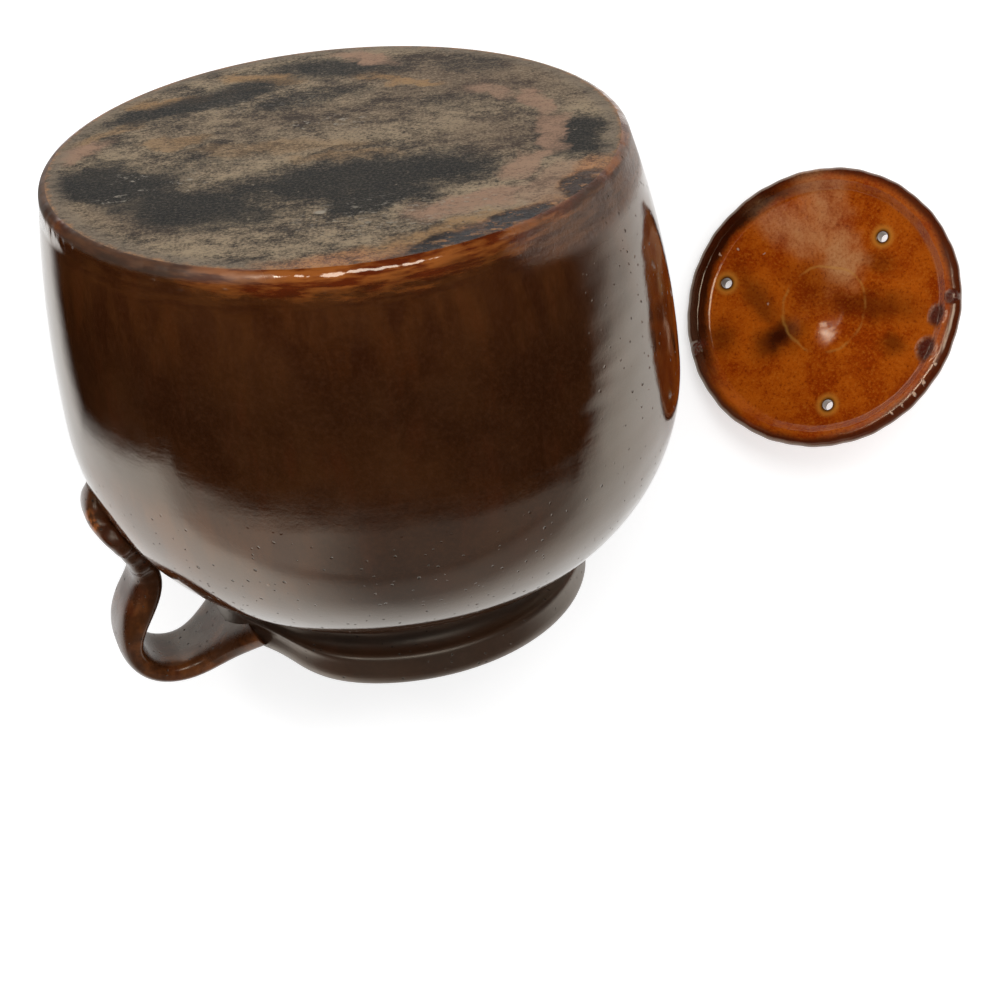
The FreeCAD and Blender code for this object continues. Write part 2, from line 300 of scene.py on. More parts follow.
# Each station: distance from the axis, height, width of the strap, thickness of the strap.
STATIONS = np.array([
    (COLLAR - 8, POT_HEIGHT - 5.0, 44.0, 8.0),
    (COLLAR + 1.5, POT_HEIGHT + 1.6, 29.5, 8.0),
    (loop_r - LOOP_ACROSS, crest_z, 22.5, 7.6),
    (loop_r - LOOP_ACROSS * (1 - half_way), loop_z + LOOP_DROP * half_way, 22.5, 7.6),
    (loop_r, loop_z, 22.5, 7.6),
    ((loop_r + waist[0]) / 2 + 1.2, (loop_z + waist[1]) / 2, 22.5, 9.2),
    (*waist, 19.0, 9.2),
    (*on_shoulder(0.3, 2.6), 22.2, 7.6),
    (*on_shoulder(0.6, 2.0), 25.5, 7.6),
    (*on_shoulder(0.85, 2.0), 18.2, 7.6),
    (*on_shoulder(1.0, -2.0), 11.0, 7.6),
])
print("strap runs through", len(STATIONS), "stations, up to", round(crest_z, 1), "mm high")

# %% [markdown]
# A curve through the stations is a natural cubic spline: between two stations it is a cubic, and slope and
# curvature run on through each of them. Its bends at the stations come from one small set of equations.


# %% Curve through the stations
def through(stations, count):
    """Natural cubic spline through all columns of stations, by distance along the first two columns. Each
    stretch is the straight mix of its two stations plus cubic terms weighted by the bends at both ends."""
    along = np.concatenate([[0], np.cumsum(np.hypot(*np.diff(stations[:, :2], axis=0).T))])
    gap = np.diff(along)
    n = len(stations)
    slope = np.diff(stations, axis=0) / gap[:, None]
    system, right = np.eye(n), np.zeros_like(stations)
    for i in range(1, n - 1):
        system[i, i - 1:i + 2] = gap[i - 1], 2 * (gap[i - 1] + gap[i]), gap[i]
        right[i] = 6 * (slope[i] - slope[i - 1])
    curve = np.linalg.solve(system, right)
    at = np.linspace(0, along[-1], count)
    i = np.clip(np.searchsorted(along, at) - 1, 0, n - 2)
    a, b = ((along[i + 1] - at) / gap[i])[:, None], ((at - along[i]) / gap[i])[:, None]
    bend = ((a ** 3 - a) * curve[i] + (b ** 3 - b) * curve[i + 1]) * (gap[i] ** 2)[:, None] / 6
    return a * stations[i] + b * stations[i + 1] + bend


print("the curve's middle is at", through(STATIONS, 3)[1, :2].round(1))

# %% [markdown]
# The section of a pulled strap is a flattened oval, a little hollow on its outer face where the potter's
# thumb drew it out. Its tail was pressed down, which left the edges uneven and the dent of the thumb's ball.

# %% Strap
FLATNESS, HOLLOW, TAIL_START = 0.65, 0.8, 0.66
EDGE_WAVE, THUMB_BALL, THUMB_DEPTH, TAIL_FACE = 0.45, 14.0, 2.0, 5.8


def strap(rows, columns):
    """At each place of the path, a rounded flat section: half width times a power of the cosine across, and
    half thickness times a power of the sine outwards, less a shallow hollow along the outer face. On the
    pressed tail two sine waves make the edges uneven, each side with its own phase. The columns run so that
    the faces point outwards."""
    path = through(STATIONS, rows)
    share = np.linspace(0, 1, rows)[:, None]
    tail = smooth((share - TAIL_START) / 0.1)
    along = np.gradient(path[:, :2], axis=0)
    along /= np.hypot(*along.T)[:, None]
    outward = np.stack([along[:, 1], -along[:, 0]], -1)
    turn = np.linspace(0, 2 * np.pi, columns, endpoint=False)
    cosine, sine = np.cos(turn), np.sin(turn)
    side = np.where(cosine > 0, 0.0, 2.1)
    wave = np.sin(58 * share + side) + 0.6 * np.sin(131 * share + 2 * side + 1)
    half_width = path[:, 2:3] / 2 + EDGE_WAVE * tail * wave
    across = half_width * np.sign(cosine) * np.abs(cosine) ** FLATNESS
    out = path[:, 3:4] / 2 * np.sign(sine) * np.abs(sine) ** FLATNESS
    out -= HOLLOW * np.clip(sine, 0, 1) ** 4
    r = path[:, 0:1] + outward[:, 0:1] * out
    z = path[:, 1:2] + outward[:, 1:2] * out
    return np.stack([r, across, z], -1)[:, ::-1]


def thumbed(places):
    """Pushes what lies inside the thumb's ball, pressed into the tail's face, out to the ball's surface: its
    middle plus the direction away from it times its radius."""
    r, z = on_shoulder(0.62, TAIL_FACE + THUMB_BALL - THUMB_DEPTH)
    away = places - np.array([r, 0, z])
    reach = np.linalg.norm(away, axis=-1, keepdims=True)
    return np.where(reach < THUMB_BALL, np.array([r, 0, z]) + away * THUMB_BALL / reach, places)


strap_places = thumbed(strap(260, 96))
cos_h, sin_h = math.cos(math.radians(HANDLE_TURN)), math.sin(math.radians(HANDLE_TURN))
strap_standing = np.stack([
    strap_places[..., 0] * cos_h - strap_places[..., 1] * sin_h,
    strap_places[..., 0] * sin_h + strap_places[..., 1] * cos_h,
    strap_places[..., 2]], -1)
handle = build("strap", lean(strap_standing), pot_lie, "strap_handle", "pot", standing=strap_places)

# %% [markdown]
# The lid is a shallow dome with a ring to sit on and a dished underside, which looks up here because the lid
# lies upturned. It is turned like the pot, and its rim is then moved in and out a little, as a hand-trimmed
# rim is.

# %% Lid
LID_HEIGHT, RING_WIDTH, RING_SLOPE = 12.0, 4.5, 2.5
DISH_DEPTH, DISH_EDGE_DEPTH, DISH_BOW = 6.2, 3.4, 0.5
BOSS_R, BOSS_HEIGHT = 7.0, 0.3


def lid_outline():
    """Underside from the middle out: the boss as a flat arc, the dish as a line plus a parabola, the ring.
    Then the rim's round edge, and the dome as one arc back to the middle."""
    ring_r = LID_RADIUS - RING_WIDTH
    dish_r = ring_r - RING_SLOPE
    boss_arc = (BOSS_R ** 2 + BOSS_HEIGHT ** 2) / (2 * BOSS_HEIGHT)
    boss_r = np.linspace(1, BOSS_R, 8)
    boss_z = DISH_DEPTH - BOSS_HEIGHT + boss_arc - np.sqrt(boss_arc ** 2 - boss_r ** 2)
    share = np.linspace(0, 1, 40)[:, None]
    dish = (1 - share) * (BOSS_R, DISH_DEPTH) + share * (dish_r, DISH_EDGE_DEPTH)
    dish[:, 1:] += DISH_BOW * 4 * share * (1 - share)
    rise = LID_HEIGHT - RIM_THICKNESS
    dome_arc = (rim_r ** 2 + rise ** 2) / (2 * rise)
    dome_turn = math.degrees(math.atan2(dome_arc - rise, rim_r))
    return tidy(np.vstack([
        np.stack([boss_r, boss_z], -1), dish,
        line((dish_r, DISH_EDGE_DEPTH), (ring_r, 0), 10), line((ring_r, 0), (rim_r, 0), 6),
        arc(rim_r, rim_round, rim_round, -90, 90, 20),
        arc(0, LID_HEIGHT - dome_arc, dome_arc, dome_turn, 89, 40)]))


def uneven(places):
    """Moves the rim in or out by a quarter of a millimetre: three sine waves of the angle round the axis."""
    turn = np.arctan2(places[..., 1], places[..., 0])
    r = np.hypot(places[..., 0], places[..., 1])
    wave = 0.1 * np.sin(5 * turn + 0.6) + 0.08 * np.sin(17 * turn + 2) + 0.06 * np.sin(41 * turn + 1)
    moved = places.copy()
    moved[..., :2] *= (1 + wave * smooth((r - 36) / 6) / r)[..., None]
    return moved


lid_standing = uneven(turned(lid_outline(), 480))
lid = build("lid", lid_standing, lid_lie, "lid_disc", "lid", standing=lid_standing)

# %% [markdown]
# The knob is a flattened ball on a hollow neck, thrown on the lid. It carries the upturned lid on one side.
# Its neck and its crown are arcs that run on smoothly into the head's round edge, which fixes their radii.

# %% Knob
KNOB_FOOT_Z, KNOB_TOP_Z, KNOB_NECK = 11.2, 25.2, 7.0


def knob_outline():
    """Foot on the dome, the neck's hollow, the head's round edge and its low crown, all as arcs."""
    edge_r = KNOB_HEAD - KNOB_ROUND
    over, up = KNOB_NECK - edge_r, KNOB_EDGE_Z - KNOB_FOOT_Z
    half = up + KNOB_ROUND - over
    hollow = half - math.sqrt(half ** 2 - over ** 2 - up ** 2 + KNOB_ROUND ** 2)
    hollow_r, hollow_z = KNOB_NECK + hollow, KNOB_FOOT_Z + hollow
    neck_turn = math.degrees(math.atan2(hollow_z - KNOB_EDGE_Z, hollow_r - edge_r))
    rise = KNOB_TOP_Z - KNOB_EDGE_Z
    crown_arc = (edge_r ** 2 + rise ** 2 - KNOB_ROUND ** 2) / (2 * (rise - KNOB_ROUND))
    crown_turn = math.degrees(math.atan2(crown_arc - rise, edge_r))
    return tidy(np.vstack([
        line((2, KNOB_FOOT_Z), (hollow_r, KNOB_FOOT_Z), 4),
        arc(hollow_r, hollow_z, hollow, 270, 180 + neck_turn, 16),
        arc(edge_r, KNOB_EDGE_Z, KNOB_ROUND, neck_turn, crown_turn, 24),
        arc(0, KNOB_TOP_Z - crown_arc, crown_arc, crown_turn, 89, 10)]))


knob_standing = turned(knob_outline(), 160)
knob = build("knob", knob_standing, lid_lie, "lid_knob", "lid", standing=knob_standing)

# %% [markdown]
# Three steam holes were cut through the soft lid with a tube, unevenly placed by eye. They could be painted
# on, but the light falls through them, so each is a real hole: a cylinder taken out with a Boolean.

# %% Steam holes
# Each hole: distance in from the lid's edge, in millimetres, and turn round the axis, in degrees.
STEAM_HOLES = ((11.3, 0.0), (16.4, 114.0), (13.8, 248.0))
HOLE_RADIUS, CUT_LENGTH, CUT_Z = 1.7, 30, 8
for inward, turn in STEAM_HOLES:
    bpy.ops.mesh.primitive_cylinder_add(vertices=48, radius=HOLE_RADIUS * MM, depth=CUT_LENGTH * MM)
    cutter = bpy.context.object
    place = Matrix.Translation(((LID_RADIUS - inward) * MM, 0, CUT_Z * MM))
    cutter.data.transform(lid_lie @ Matrix.Rotation(math.radians(turn), 4, "Z") @ place)
    cut = lid.modifiers.new("hole", "BOOLEAN")
    cut.operation, cut.solver, cut.object = "DIFFERENCE", "EXACT", cutter
    bpy.context.view_layer.objects.active = lid
    bpy.ops.object.modifier_apply(modifier=cut.name)
    bpy.data.objects.remove(cutter)
print("lid has", len(lid.data.polygons), "faces with its", len(STEAM_HOLES), "steam holes")

# %% [markdown]
# A cut leaves some points almost on top of each other, so the lid's mesh is cleaned by merging them. The new
# points have no marks yet, so all marks are stored afresh, taken back from where each point now lies.

# %% Clean lid
CLOSE = 0.002 * MM
clean = bmesh.new()
clean.from_mesh(lid.data)
bmesh.ops.remove_doubles(clean, verts=clean.verts, dist=CLOSE)
bmesh.ops.dissolve_degenerate(clean, edges=clean.edges, dist=CLOSE)
clean.to_mesh(lid.data)
clean.free()
lid_points = np.empty(len(lid.data.vertices) * 3)
lid.data.vertices.foreach_get("co", lid_points)
lid_back = np.array(lid_lie.inverted())
lid_marks = (lid_points.reshape(-1, 3) @ lid_back[:3, :3].T + lid_back[:3, 3]) / MM
mark(lid.data, lid_marks)
print("lid keeps", len(lid.data.vertices), "points, marked up to", lid_marks[:, 2].max().round(2), "mm high")

# %% [markdown]
# Materials are small node trees. A few short helpers keep them readable: one makes a node and sets or links
# its inputs, the others do sums, products and colour mixes with it.


# %% Node helpers
def put(tree, kind, values=(), **settings):
    """One node. settings are its properties, values its inputs, each a constant or another node's output."""
    made = tree.nodes.new("ShaderNode" + kind)
    for key, value in settings.items():
        setattr(made, key, value)
    for key, value in dict(values).items():
        if isinstance(value, bpy.types.NodeSocket):
            tree.links.new(value, made.inputs[key])
        else:
            made.inputs[key].default_value = value
    return made


def sums(tree, operation, *values):
    """Output of one Math node."""
    return put(tree, "Math", dict(enumerate(values)), operation=operation).outputs[0]


def vectors(tree, operation, *values):
    """Vector output of one Vector Math node."""
    return put(tree, "VectorMath", dict(enumerate(values)), operation=operation).outputs[0]


def times(tree, *values):
    """Product of all values."""
    total = values[0]
    for value in values[1:]:
        total = sums(tree, "MULTIPLY", total, value)
    return total


def total_of(tree, *values):
    """Sum of all values."""
    total = values[0]
    for value in values[1:]:
        total = sums(tree, "ADD", total, value)
    return total


def span(tree, value, low, high, start=0.0, end=1.0):
    """Value taken from low..high to start..end, smooth at both ends."""
    return put(tree, "MapRange", {0: value, 1: low, 2: high, 3: start, 4: end},
               interpolation_type="SMOOTHSTEP").outputs[0]


def blend(tree, share, first, second):
    """Colour between first and second, each (red, green, blue, 1) or another node's output."""
    return put(tree, "Mix", {0: share, 6: first, 7: second}, data_type="RGBA").outputs[2]


# %% [markdown]
# Each material starts with a Principled shader and ends with a bumpy normal. All of them read where a point
# sits in the standing pot or lid: its place, its height, and its distance from the axis.


# %% Start and end of a material
def fresh(name):
    """Material with a Principled shader, its tree and that shader."""
    material = bpy.data.materials.new(name)
    material.use_nodes = True
    return material, material.node_tree, material.node_tree.nodes["Principled BSDF"]


def finish_surface(tree, shader, colour, rough, height, reach):
    """Feeds the shader's colour and roughness, and its normal from a height in units of reach millimetres."""
    tree.links.new(colour, shader.inputs["Base Color"])
    tree.links.new(rough, shader.inputs["Roughness"])
    relief = put(tree, "Bump", {"Height": height, "Distance": reach * MM, "Strength": 1.0})
    tree.links.new(relief.outputs[0], shader.inputs["Normal"])


def clay_place(tree):
    """Place in the standing pot or lid, in millimetres."""
    return put(tree, "Attribute", attribute_name="clay").outputs["Vector"]


def height_up(tree, place):
    """Height of the place above the base or the lid's ring."""
    return put(tree, "SeparateXYZ", {0: place}).outputs["Z"]


def radius(tree, place):
    """Distance of the place from the axis."""
    flat = vectors(tree, "MULTIPLY", place, (1, 1, 0))
    return put(tree, "VectorMath", {0: flat}, operation="LENGTH").outputs["Value"]


# %% [markdown]
# Soot, bare clay and brush marks are soft-edged oval patches. One node group makes the mask of such a patch,
# and is placed once for each mark with its own middle, size and turn. For most marks its place is bent by
# noise before it comes in, so that the patch has no clean outline.


# %% Patches
def group(name, inputs, outputs):
    """Shader node group with named sockets: its tree, its inputs' values and its output node."""
    tree = bpy.data.node_groups.new(name, "ShaderNodeTree")
    for label, kind, value in inputs:
        socket = tree.interface.new_socket(label, in_out="INPUT", socket_type="NodeSocket" + kind)
        socket.default_value = value
    for label, kind in outputs:
        tree.interface.new_socket(label, in_out="OUTPUT", socket_type="NodeSocket" + kind)
    return tree, tree.nodes.new("NodeGroupInput").outputs, tree.nodes.new("NodeGroupOutput").inputs


def patch_group():
    """1 inside an oval and 0 outside: one minus the length of the place, measured in half sizes."""
    tree, given, out = group("soft patch", [
        ("Place", "Vector", (0, 0, 0)), ("Middle", "Vector", (0, 0, 0)), ("Half size", "Vector", (1, 1, 1)),
        ("Turn", "Float", 0), ("Soft", "Float", 0.3)], [("Mask", "Float")])
    away = put(tree, "VectorMath", {0: given["Place"], 1: given["Middle"]}, operation="SUBTRACT").outputs[0]
    turned_place = put(tree, "VectorRotate", {"Vector": away, "Angle": given["Turn"]}, rotation_type="Z_AXIS",
                       invert=True).outputs[0]
    shares = put(tree, "VectorMath", {0: turned_place, 1: given["Half size"]}, operation="DIVIDE").outputs[0]
    reach = put(tree, "VectorMath", {0: shares}, operation="LENGTH").outputs["Value"]
    outer_end = sums(tree, "ADD", 1.0, given["Soft"])
    inner_end = sums(tree, "SUBTRACT", 1.0, given["Soft"])
    tree.links.new(span(tree, reach, outer_end, inner_end), out["Mask"])
    return tree


PATCH = patch_group()


def patches(tree, place, marks, soft=0.35):
    """Highest mask of several patches, each (x, y, half length, half width, turn in degrees, strength)."""
    total = None
    for x, y, length, width, turn, strength in marks:
        one = put(tree, "Group", node_tree=PATCH)
        tree.links.new(place, one.inputs["Place"])
        one.inputs["Middle"].default_value = (x, y, 0)
        one.inputs["Half size"].default_value = (length, width, 40)
        one.inputs["Turn"].default_value = math.radians(turn)
        one.inputs["Soft"].default_value = soft
        mask = sums(tree, "MULTIPLY", one.outputs[0], strength)
        total = mask if total is None else sums(tree, "MAXIMUM", total, mask)
    return total


print("patch group has", len(PATCH.nodes), "nodes")

# %% [markdown]
# Pinholes, grits and ash are small round specks. A Voronoi texture scatters cells, each with a random colour:
# a speck sits at the middle of a cell, and the colour decides which cells have one, and how big it is.


# %% Specks
def speck_group():
    """Small round specks: near a Voronoi cell's point, and only in the share of cells that are picked."""
    tree, given, out = group("specks", [
        ("Place", "Vector", (0, 0, 0)), ("Spacing", "Float", 8.0), ("Radius", "Float", 0.6),
        ("Share", "Float", 0.4)], [("Mask", "Float")])
    density = sums(tree, "DIVIDE", 1.0, given["Spacing"])
    cell = put(tree, "TexVoronoi", {"Vector": given["Place"], "Scale": density})
    distance = sums(tree, "MULTIPLY", cell.outputs["Distance"], given["Spacing"])
    chance = put(tree, "SeparateColor", {0: cell.outputs["Color"]})
    picked = sums(tree, "LESS_THAN", chance.outputs[0], given["Share"])
    edge = sums(tree, "MULTIPLY", given["Radius"], sums(tree, "MULTIPLY_ADD", chance.outputs[1], 0.7, 0.5))
    near = put(tree, "MapRange", {0: distance, 1: edge, 2: sums(tree, "MULTIPLY", edge, 0.4), 3: 0.0, 4: 1.0})
    tree.links.new(sums(tree, "MULTIPLY", near.outputs[0], picked), out["Mask"])
    return tree


SPECKS = speck_group()


def specks(tree, place, spacing, size, share):
    """Mask of specks about spacing apart, of that size, all in millimetres, in that share of the cells."""
    one = put(tree, "Group", {"Place": place, "Spacing": spacing, "Radius": size, "Share": share},
              node_tree=SPECKS)
    return one.outputs[0]


print("speck group has", len(SPECKS.nodes), "nodes")

# %% [markdown]
# Noise gives clouds, grain and streaks, by its size and by how far it is drawn out along one direction. The
# same noise bends a place before a patch or a speck reads it, which makes their outlines ragged.


# %% Noise and bent places
def noise(tree, place, size, detail=4.0, rough=0.55, stretch=(1, 1, 1), turn=0.0):
    """Noise whose features are about size millimetres across, stretched along the turned x, y or z."""
    mapped = put(tree, "Mapping", {"Vector": place, "Rotation": (0, 0, math.radians(turn)),
                                   "Scale": tuple(1 / (size * s) for s in stretch)})
    return put(tree, "TexNoise", {"Vector": mapped.outputs[0], "Scale": 1.0, "Detail": detail,
                                  "Roughness": rough}).outputs["Fac"]


def bend_group():
    """Place moved by up to Reach millimetres by noise whose features are Size millimetres across."""
    tree, given, out = group("bent place", [
        ("Place", "Vector", (0, 0, 0)), ("Size", "Float", 10.0), ("Reach", "Float", 2.0)],
        [("Place", "Vector")])
    density = sums(tree, "DIVIDE", 1.0, given["Size"])
    cloud = put(tree, "TexNoise", {"Vector": given["Place"], "Scale": density, "Detail": 4.0})
    shift = put(tree, "VectorMath", {0: vectors(tree, "SUBTRACT", cloud.outputs["Color"], (0.5, 0.5, 0.5)),
                                     3: sums(tree, "MULTIPLY", given["Reach"], 4.0)}, operation="SCALE")
    tree.links.new(vectors(tree, "ADD", given["Place"], shift.outputs[0]), out["Place"])
    return tree


BEND = bend_group()


def bent(tree, place, size, reach):
    """Place moved by noise of that size, by up to reach, both in millimetres."""
    return put(tree, "Group", {"Place": place, "Size": size, "Reach": reach}, node_tree=BEND).outputs[0]


print("bend group has", len(BEND.nodes), "nodes")

# %% [markdown]
# The glaze is an iron glaze: nearly black where it is thick, amber where it runs thin over an edge or near
# the base, with pinholes where gas broke through and a few pale grits. Fine rings from the potter's fingers
# show in it as faint lines round the pot. It is very glossy, so its shader has a high index and a low
# roughness.

# %% Dark glaze
GLAZE_INDEX = 2.2
GLAZE_TINT = (1.0, 0.89, 0.73, 1)


def iron_glaze_group():
    """Colour, roughness and height of the dark glaze. Thin is 1 where the glaze is thin and shows amber."""
    tree, given, out = group("iron glaze", [
        ("Place", "Vector", (0, 0, 0)), ("Thin", "Float", 0.0), ("Dullness", "Float", 0.0)],
        [("Colour", "Color"), ("Roughness", "Float"), ("Height", "Float")])
    place = given["Place"]
    cloud = noise(tree, place, 34, detail=6, rough=0.62)
    runs = noise(tree, place, 8, detail=4, rough=0.6, stretch=(1, 1, 4))
    fine = noise(tree, place, 1.3, detail=4, rough=0.7)
    body = blend(tree, span(tree, cloud, 0.36, 0.66), (0.029, 0.0085, 0.0026, 1), (0.052, 0.0175, 0.0052, 1))
    body = blend(tree, span(tree, runs, 0.5, 0.72, 0, 0.4), body, (0.062, 0.015, 0.0045, 1))
    body = blend(tree, span(tree, fine, 0.4, 0.75, 0, 0.3), body, (0.085, 0.032, 0.014, 1))
    layers = noise(tree, place, 2.5, detail=5, rough=0.6, stretch=(5, 5, 0.7))
    above = span(tree, height_up(tree, place), 6.0, 14.0)
    below = sums(tree, "SUBTRACT", 1.0, above)
    pattern = total_of(tree, times(tree, layers, below), times(tree, runs, above))
    amber = blend(tree, span(tree, pattern, 0.4, 0.6), (0.13, 0.02, 0.004, 1), (0.36, 0.105, 0.02, 1))
    colour = blend(tree, given["Thin"], body, amber)
    high = span(tree, height_up(tree, place), 66.0, 84.0)
    side = span(tree, put(tree, "SeparateXYZ", {0: place}).outputs["X"], 58, 74, 0.0, 0.9)
    pits = times(tree, specks(tree, bent(tree, place, 2.0, 0.3), 2.4, 0.45, 0.6),
                 sums(tree, "MAXIMUM", high, side))
    far = vectors(tree, "ADD", place, (31, 7, 5))
    grits = specks(tree, bent(tree, far, 1.5, 0.3), 15, 0.6, 0.2)
    colour = blend(tree, times(tree, pits, 0.85), colour, (0.008, 0.004, 0.003, 1))
    colour = blend(tree, times(tree, grits, 0.6), colour, (0.24, 0.14, 0.09, 1))
    rings = noise(tree, place, 5, detail=2, rough=0.5, stretch=(12, 12, 1))
    dents = noise(tree, place, 26, detail=2, rough=0.4)
    height = total_of(tree, times(tree, dents, 0.9), times(tree, rings, 0.08), times(tree, fine, 0.05),
                      times(tree, pits, -0.5), times(tree, grits, 0.1))
    dull = total_of(tree, span(tree, noise(tree, place, 18, detail=5), 0.35, 0.7, 0.06, 0.11),
                    times(tree, pits, 0.35))
    tree.links.new(colour, out["Colour"])
    tree.links.new(sums(tree, "ADD", dull, given["Dullness"]), out["Roughness"])
    tree.links.new(height, out["Height"])
    return tree


IRON_GLAZE = iron_glaze_group()
print("iron glaze group has", len(IRON_GLAZE.nodes), "nodes")

# %% [markdown]
# Pot, strap and knob carry the same glaze, but it is thin and dull in other places on each. So one function
# makes the material and is handed the two masks of its piece, and for the pot also its knocks and dents.


# %% Material of the dark glaze
def dark_glaze(name, thin, dull, index=GLAZE_INDEX, relief=None):
    """Dark glaze that turns amber by thin(tree, place) and duller by dull(tree, place), two masks, with
    relief(tree, place) added to its height."""
    material, tree, shader = fresh(name)
    shader.inputs["IOR"].default_value = index
    shader.inputs["Specular Tint"].default_value = GLAZE_TINT
    place = clay_place(tree)
    glaze = put(tree, "Group", {"Place": place, "Thin": thin(tree, place), "Dullness": dull(tree, place)},
                node_tree=IRON_GLAZE).outputs
    height = glaze["Height"]
    if relief is not None:
        height = sums(tree, "ADD", height, relief(tree, place))
    finish_surface(tree, shader, glaze["Colour"], glaze["Roughness"], height, 0.35)
    print(name, "has", len(tree.nodes), "nodes")
    return material


# %% [markdown]
# At the base's edge the glaze was wiped off with a wet sponge. It is thinnest just above that line: a bright
# orange thread all round, a wide ragged amber band on one side, and beside it a dull red-brown crust, where
# ash stuck to the glaze. The collar is handled most and has lost its gloss. Each such place is a list of
# patches, seen along the pot's axis, times a span of heights.

# %% Glaze of the pot
# Each patch: x, y, half length, half width, turn in degrees, strength.
AMBER_SIDE = ((0, 82, 38, 24, 0, 1.0), (36, 74, 22, 16, -30, 0.8))
CRUST_SIDE = ((62, 54, 22, 14, -48, 1.0), (80, 22, 10, 22, 8, 1.0))
WORN_SIDE = ((-50, 66, 44, 16, 38, 1.0), (-80, 14, 14, 40, 10, 1.0))
SCOURED_SIDE = ((69, 46, 11, 28, 0, 1.0),)
BLUSH = ((-64, 64, 34, 14, 45, 1.0), (-36, 82, 20, 12, 30, 0.6))


def thin_at_base(tree, place):
    """Amber thread at the base's edge, ragged band and crust on one side, a faint wash further up, and a
    blush on the belly."""
    cloud = noise(tree, place, 5, detail=8, rough=0.7, stretch=(3.5, 3.5, 0.8))
    z = sums(tree, "ADD", height_up(tree, place), sums(tree, "MULTIPLY_ADD", cloud, -14.0, 7.0))
    thread = times(tree, span(tree, z, 3.6, 0.0, 0.0, 0.9), span(tree, height_up(tree, place), 6.0, 3.0),
                   sums(tree, "MULTIPLY_ADD", patches(tree, place, WORN_SIDE), -0.7, 1.0))
    band = times(tree, span(tree, z, 9.0, 1.5, 0.0, 0.95), patches(tree, place, AMBER_SIDE))
    crust = times(tree, span(tree, z, 16.0, 8.0, 0.0, 0.3), patches(tree, place, CRUST_SIDE))
    wash = span(tree, z, 40.0, 6.0, 0.0, 0.09)
    flat = vectors(tree, "MULTIPLY", place, (1, 1, 0))
    blush = times(tree, patches(tree, bent(tree, flat, 14, 5.0), BLUSH, soft=0.8),
                  span(tree, height_up(tree, place), 62.0, 74.0, 0.0, 0.2))
    most = sums(tree, "MAXIMUM", sums(tree, "MAXIMUM", thread, band), sums(tree, "MAXIMUM", crust, wash))
    return sums(tree, "MAXIMUM", most, blush)


def dull_places(tree, place):
    """Dull collar, crust, rubbed edge and scoured side."""
    z = height_up(tree, place)
    collar = span(tree, z, 124.0, 132.0, 0.0, 0.34)
    crust = times(tree, patches(tree, place, CRUST_SIDE), span(tree, z, 15.0, 8.0, 0.0, 0.3))
    rubbed = times(tree, patches(tree, place, WORN_SIDE), span(tree, z, 4.0, 2.0, 0.0, 0.5))
    scoured = times(tree, patches(tree, place, SCOURED_SIDE), span(tree, z, 70.0, 40.0, 0.0, 0.16))
    return total_of(tree, collar, crust, rubbed, scoured)


def pot_relief(tree, place):
    """Shallow knocks and finger dents on one side of the belly, the rough crust near the base, and lumps
    along the base's edge."""
    side = span(tree, put(tree, "SeparateXYZ", {0: place}).outputs["X"], 30, 70)
    dents = noise(tree, place, 13, detail=1, rough=0.4, stretch=(1.8, 1.8, 0.8))
    rough = noise(tree, place, 1.6, detail=5, rough=0.7)
    z = height_up(tree, place)
    crust = times(tree, patches(tree, place, CRUST_SIDE), span(tree, z, 14.0, 6.0), rough)
    lumps = times(tree, noise(tree, place, 7, detail=2, rough=0.4), span(tree, z, 8.0, 3.0))
    return total_of(tree, times(tree, dents, side, 1.2), times(tree, crust, 1.8), times(tree, lumps, 2.9))


pot.data.materials.append(dark_glaze("dark_glaze", thin_at_base, dull_places, relief=pot_relief))

# %% [markdown]
# The base is bare stoneware that stood in the embers: dull, streaked along one direction by wiping, black
# with soot in places, and rubbed down to pink and ochre clay in others, with a grey worn ring at its edge.
# The marks of each kind are a list of patches, given one by one.

# %% Marks on the base
# Each patch: x, y, half length, half width, turn in degrees, strength.
SOOT = ((8, 24, 40, 15, -3, 1.0), (12, 40, 18, 9, -10, 1.0), (66, 8, 11, 17, 8, 1.0),
        (-60, 16, 24, 14, 20, 1.0), (-42, -42, 36, 9, -26, 0.9), (-36, 36, 28, 14, 25, 0.95),
        (0, -62, 24, 9, 8, 0.85), (34, -26, 14, 10, 0, 0.5), (-8, -40, 22, 8, -8, 0.6),
        (40, -56, 16, 8, 30, 0.6), (-30, 4, 16, 6, 0, 0.5))
PINK = ((8, -70, 11, 5, 43, 1.0), (-72, -11, 10, 4.5, -33, 1.0), (45, -31, 9, 4, 55, 0.7),
        (58, -20, 3.5, 11, -18, 0.9), (60, 4, 3.5, 14, 2, 0.9), (52, 24, 5, 10, 35, 0.9),
        (36, 48, 16, 7, -22, 1.0), (60, 40, 10, 12, 35, 0.6))
OCHRE = ((-22, -58, 12, 4.5, 20, 1.0), (-46, -46, 19, 3.5, -8, 1.0), (20, -46, 12, 2.5, 23, 0.9),
         (-46, -12, 9, 4, 0, 0.6), (-14, -2, 24, 5, 4, 0.4), (30, 66, 24, 6, -24, 0.9),
         (68, 40, 7, 14, 30, 0.8), (4, 8, 14, 3, 4, 0.5), (-66, -22, 14, 3, -34, 0.6))
CRUST = ((-2, -17, 11, 4.5, -8, 1.0), (-54, 13, 5, 4, 0, 0.9), (-39, 17, 5, 4, 30, 0.8),
         (-56, 24, 8, 3, 0, 0.7), (20, 52, 30, 12, 0, 0.45), (-20, -38, 16, 6, 0, 0.3))
BROWN = ((42, -44, 34, 22, 20, 0.8), (44, 2, 16, 14, 0, 0.7), (0, -22, 40, 12, 0, 0.4),
         (-50, 40, 18, 8, 30, 0.6))
BURNT = ((30, 71, 13, 5, -22, 1.0), (48, 60, 11, 5, -42, 1.0), (66, 42, 9, 5, -58, 0.9),
         (12, 77, 8, 2, -8, 0.6))
